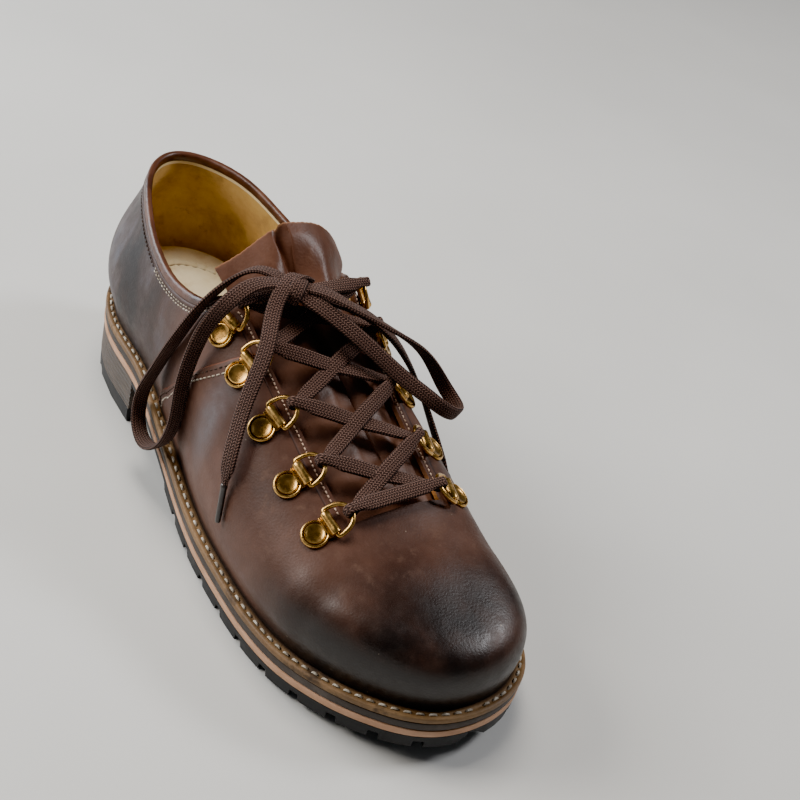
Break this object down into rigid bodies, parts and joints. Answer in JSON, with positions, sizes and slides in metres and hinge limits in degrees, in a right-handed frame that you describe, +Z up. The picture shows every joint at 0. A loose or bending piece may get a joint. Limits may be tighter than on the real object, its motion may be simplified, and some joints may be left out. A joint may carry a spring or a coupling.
{
  "type": "haferl shoe",
  "caption": "Sturdy low leather shoe for the right foot, laced over a folded tongue through rings in metal clips, with a stitched welt, stacked heel and lugged rubber sole.",
  "frame": {"origin": "on the floor under the middle of the shoe's box, the lace's bow left out", "axes": "+X to the toe, +Y to the inner (medial) side of the right foot, +Z up"},
  "size_m": [0.2851, 0.106, 0.1217],
  "materials": {
    "rubber": "matt black lugged rubber",
    "heel_layers": "grey-brown stacked layers, grooved edge",
    "tan_layer": "light tan, plain cut edge",
    "dark_layer": "dark dyed edge",
    "welt_leather": "golden brown, light stitches",
    "sock": "pale cream, matt",
    "upper_leather": "dark brown waxed leather, burnished toe",
    "binding_leather": "smooth reddish brown, satin",
    "tongue_leather": "soft reddish brown, raw top edge",
    "antique_brass": "antique brass, rubbed bright on the edges",
    "lace": "flat dark-brown weave",
    "aglet": "dark, satin"
  },
  "bodies": {
    "root": {"top_lift": "rubber", "heel_stack": "heel_layers", "outsole": "rubber", "midsole_tan": "tan_layer", "midsole_dark": "dark_layer", "welt": "welt_leather", "insole": "sock", "upper": "upper_leather", "collar_binding": "binding_leather", "tongue": "tongue_leather", "clip_lat_1": "antique_brass", "clip_lat_2": "antique_brass", "clip_lat_3": "antique_brass", "clip_lat_4": "antique_brass", "clip_lat_5": "antique_brass", "clip_med_1": "antique_brass", "clip_med_2": "antique_brass", "clip_med_3": "antique_brass", "clip_med_4": "antique_brass", "clip_med_5": "antique_brass", "ring_lat_1": "antique_brass", "ring_lat_2": "antique_brass", "ring_lat_3": "antique_brass", "ring_lat_4": "antique_brass", "ring_lat_5": "antique_brass", "ring_med_1": "antique_brass", "ring_med_2": "antique_brass", "ring_med_3": "antique_brass", "ring_med_4": "antique_brass", "ring_med_5": "antique_brass", "lace_bar": "lace", "lace_cross_1": "lace", "lace_cross_2": "lace", "lace_cross_3": "lace", "lace_cross_4": "lace", "lace_knot": "lace", "lace_loop_lat": "lace", "lace_loop_med": "lace", "lace_end_lat": "lace", "lace_end_med": "lace", "aglet_lat": "aglet", "aglet_med": "aglet"}
  },
  "joints": []
}
